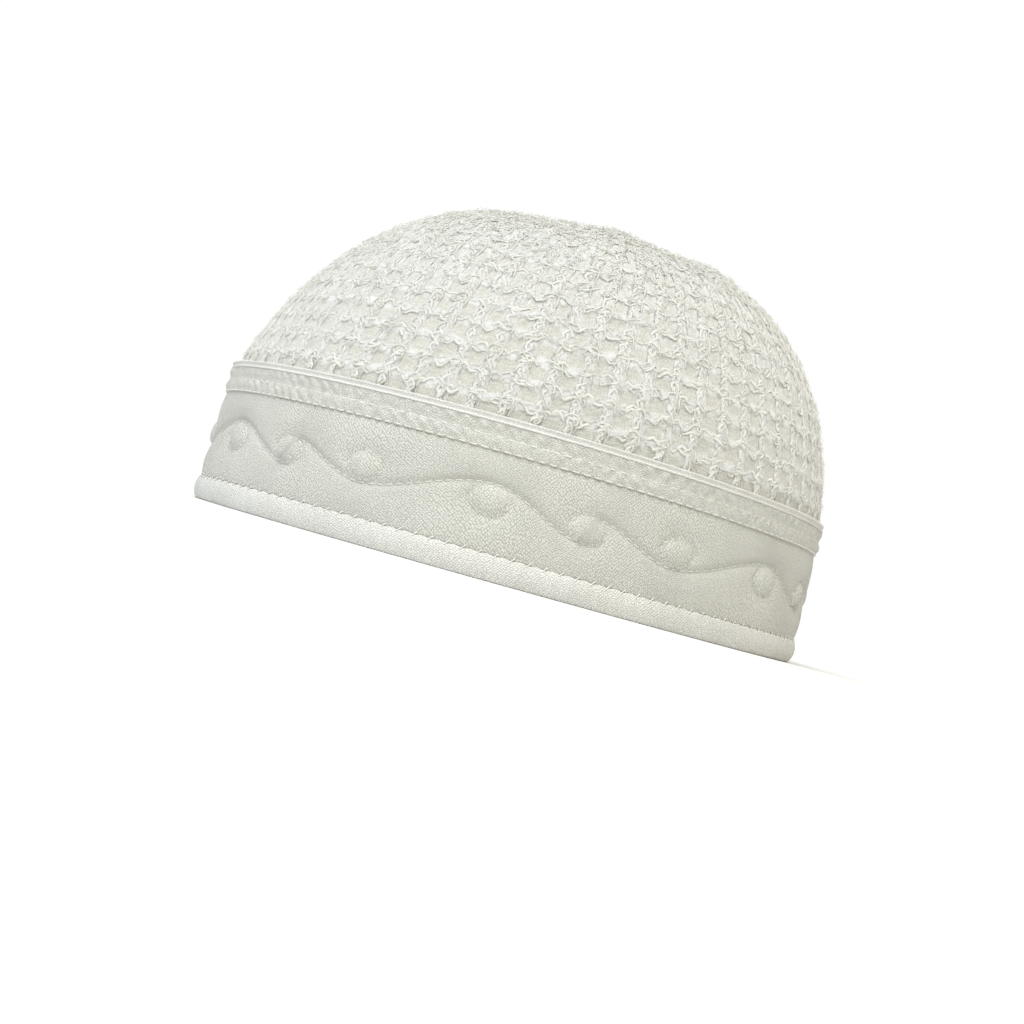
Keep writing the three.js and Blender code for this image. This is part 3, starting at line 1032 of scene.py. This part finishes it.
# Single fibres that stand off the yarn: each starts on a wale or a row and curls away from it.
def fluff():
    draw, count = np.random.default_rng(23), net["fluff"]
    bearing, arc, room = crossings()
    pick = draw.integers(0, len(bearing), count)
    onWale = draw.random(count) < 0.5
    across = np.where(onWale, draw.normal(0, 0.9, count), draw.uniform(-5, 5, count))
    along = np.where(onWale, draw.uniform(-4, 4, count), draw.normal(0, 0.8, count))
    heading, curl = draw.uniform(0, fullTurn, (count, 1)), draw.normal(0, 0.9, (count, 1))
    length = draw.uniform(1.0, 3.0, (count, 1))
    t = np.linspace(0, 1, 3)[None]
    way = heading + curl * t * 1.6
    across = across[:, None] + length * t * np.cos(way)
    along = along[:, None] + length * t * np.sin(way)
    rise = 0.5 + draw.uniform(0.1, 1.1, (count, 1)) * np.sin(t * draw.uniform(1.2, 3.0, (count, 1)))
    bearing, arc, room = bearing[pick], arc[pick], room[pick]
    place, up = onNet(bearing + across * room / sideRadius(arc), np.maximum(arc + along * room, 0.2), rise)
    return [sweepStrands(place, net["fluffRadius"] * (1 - 0.5 * t), up)]


# The top of the crown, where the last wales are drawn together: a small flat coil of yarn.
def close():
    turn = np.linspace(0, 3.2 * fullTurn, 120)[None]
    reach = 0.25 + 0.78 * turn / fullTurn
    lift = 0.75 + 0.12 * np.sin(7.3 * turn) - 0.25 * (reach / 3) ** 2
    place, up = onCrown(turn + 0.4, arcLength - reach, yarnBed + lift)
    return [sweepStrands(place, 0.4 + 0.03 * np.sin(5.1 * turn), up, 8)]


mainStrands, fineStrands = rows()
for name, parts in (
        ("net_wales", wales()), ("net_wale_fibres", waleFibres()), ("net_rows", mainStrands),
        ("net_row_fibres", fineStrands), ("net_hooks", hooks()), ("net_fluff", fluff()),
        ("net_close", close())):
    piece = buildPiece(name, parts, yarnWhite)
print("net made")

# The stage: one pale floor that reaches past every view's edge, under soft light from above.
stage = {
    "floor": "#ebebea",
    "floorReach": 14.0,   # metres
    "floorDrop": 0.0001,  # metres that it lies below the cap's foot, so that no faces coincide
    "keyStrength": 2.8,
    "keySoftness": 52,    # degrees across
    "keyBearing": -17,    # degrees from -Y towards +X
    "keyHeight": 60,      # degrees above the floor
    "skyTop": 0.95,
    "skyLow": 0.4,
    "skyLeft": "#c6d5e9",
    "skyRight": "#d8c8ab",
    "backdrop": 1.03,
}

mesh = bpy.data.meshes.new("floor")
reach = stage["floorReach"]
ring = np.linspace(0, fullTurn, 96, endpoint=False)
corners = np.stack([reach * np.cos(ring), reach * np.sin(ring), 0 * ring - stage["floorDrop"]], -1)
mesh.from_pydata(corners.tolist(), [], [list(range(96))])
floor = addObject("floor", mesh)
mesh.materials.append(newMaterial("matt_paper", {
    "Base Color": linear(stage["floor"]), "Roughness": 1.0, "Specular IOR Level": 0.0})[0])

sun = bpy.data.lights.new("key", "SUN")
sun.energy, sun.angle = stage["keyStrength"], math.radians(stage["keySoftness"])
lamp = addObject("key", sun)
b, e = math.radians(stage["keyBearing"]), math.radians(stage["keyHeight"])
lamp.rotation_mode = "QUATERNION"
towards = Vector((math.sin(b) * math.cos(e), -math.cos(b) * math.cos(e), math.sin(e)))
lamp.rotation_quaternion = towards.to_track_quat("Z", "Y")

# Daylight from a pale sky, brighter overhead, cooler on the left and warmer on the right. The
# camera sees plain white.
world = bpy.data.worlds.new("pale_studio")
world.use_nodes = True
world.node_tree.nodes.clear()
add = partial(addNode, world.node_tree)
way = add("TexCoord").outputs["Generated"]
axes = add("SeparateXYZ", {"Vector": way}).outputs
level = add("MapRange", {"Value": axes["Z"], "To Min": stage["skyLow"], "To Max": stage["skyTop"]})
side = add("MapRange", {"Value": axes["X"], "From Min": -1.0})
ends = {6: linear(stage["skyLeft"]), 7: linear(stage["skyRight"])}
tint = add("Mix", {"Factor": side, **ends}, data_type="RGBA").outputs[2]
sky = add("Background", {"Color": tint, "Strength": level})
seen = add("Background", {"Color": (1, 1, 1, 1), "Strength": stage["backdrop"]})
camera = add("LightPath").outputs["Is Camera Ray"]
add("OutputWorld", {"Surface": add("MixShader", {0: camera, 1: sky, 2: seen})})
bpy.context.scene.world = world
bpy.context.scene.view_settings.view_transform = "Standard"

# The camera: the photograph's lens, distance, turn and tilt, but raised to just above the floor.
view = {
    "targetAcross": 0.006,  # in half lengths of the cap
    "targetHeight": 0.23,
    "distance": 5.5,
    "height": 5.0,          # mm above the floor
    "tilt": 15.6,           # degrees that the picture is turned
    "lens": 58.8,           # mm on a sensor 36 mm wide
}

data = bpy.data.cameras.new("camera")
data.lens, data.sensor_width, data.clip_end = view["lens"], 36, 100
target = Vector((view["targetAcross"] * halfLength, 0, view["targetHeight"] * halfLength)) * mm
reach = view["distance"] * halfLength * mm
drop = target.z - view["height"] * mm
place = target - Vector((0, math.sqrt(reach ** 2 - drop ** 2), drop))
ahead = (target - place).normalized()
level = Vector((1, 0, 0))
square = level.cross(ahead)
tilt = math.radians(view["tilt"])
right = math.cos(tilt) * level + math.sin(tilt) * square
up = -math.sin(tilt) * level + math.cos(tilt) * square
turn = Matrix((right, up, -ahead)).transposed().to_4x4()
camera = addObject("camera", data)
camera.matrix_world = Matrix.Translation(place) @ turn
bpy.context.scene.camera = camera
print("stage, lights and camera made")

bpy.context.view_layer.update()
